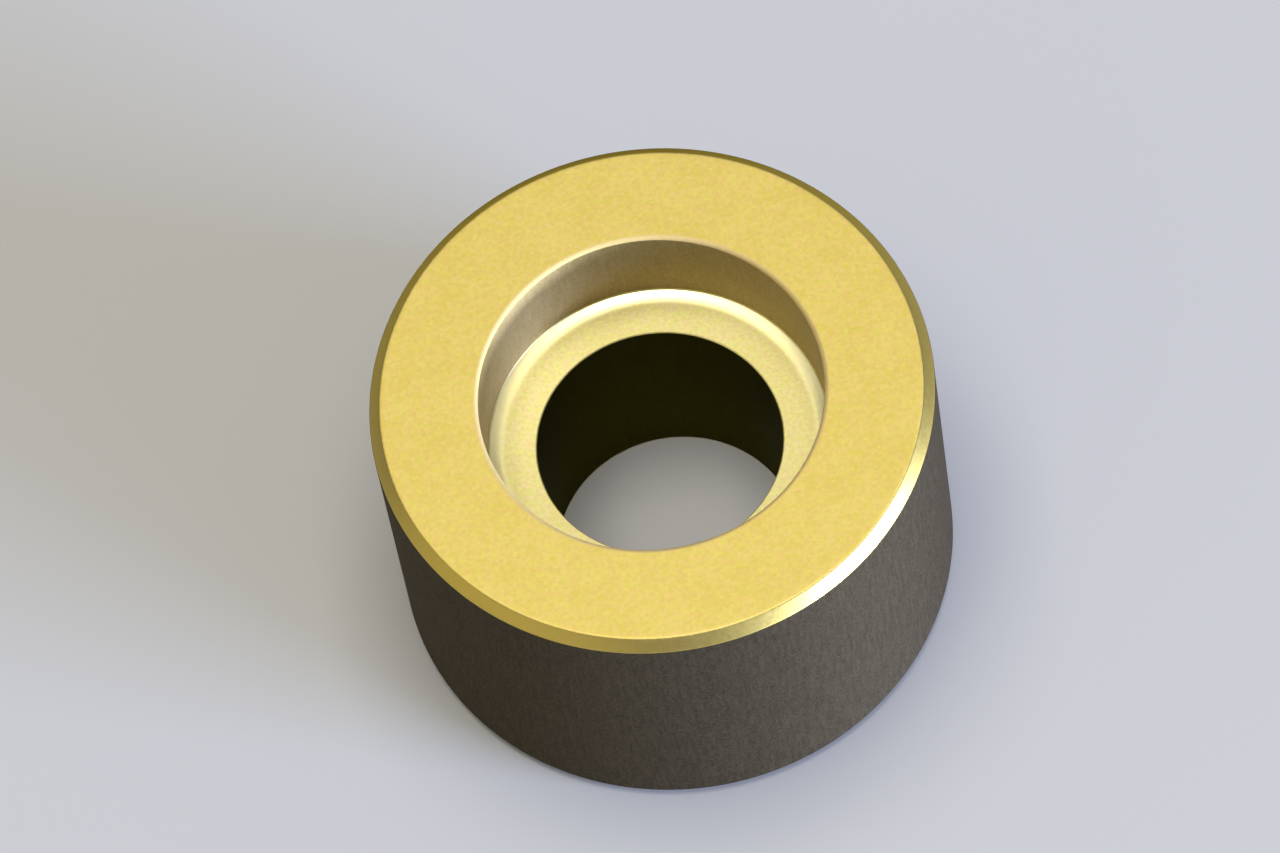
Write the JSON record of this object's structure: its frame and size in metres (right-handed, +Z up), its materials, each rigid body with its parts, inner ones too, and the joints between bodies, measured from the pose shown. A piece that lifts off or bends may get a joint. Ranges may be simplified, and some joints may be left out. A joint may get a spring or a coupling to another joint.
{
  "type": "counterbored bush",
  "caption": "Short thick-walled turned bush with a chamfered rim, a counterbore whose floor rises in a narrow corner ring, and a through bore.",
  "frame": {"origin": "middle of the base, on the axis", "axes": "+Z up along the axis, from the base to the counterbored face; X and Y are any two directions across the bush"},
  "size_m": [0.025, 0.025, 0.0153],
  "materials": {
    "turned_brass": "matte fine-blasted faces, turned walls with fine tool marks"
  },
  "bodies": {
    "root": {"counterbored_bush": "turned_brass"}
  },
  "joints": []
}
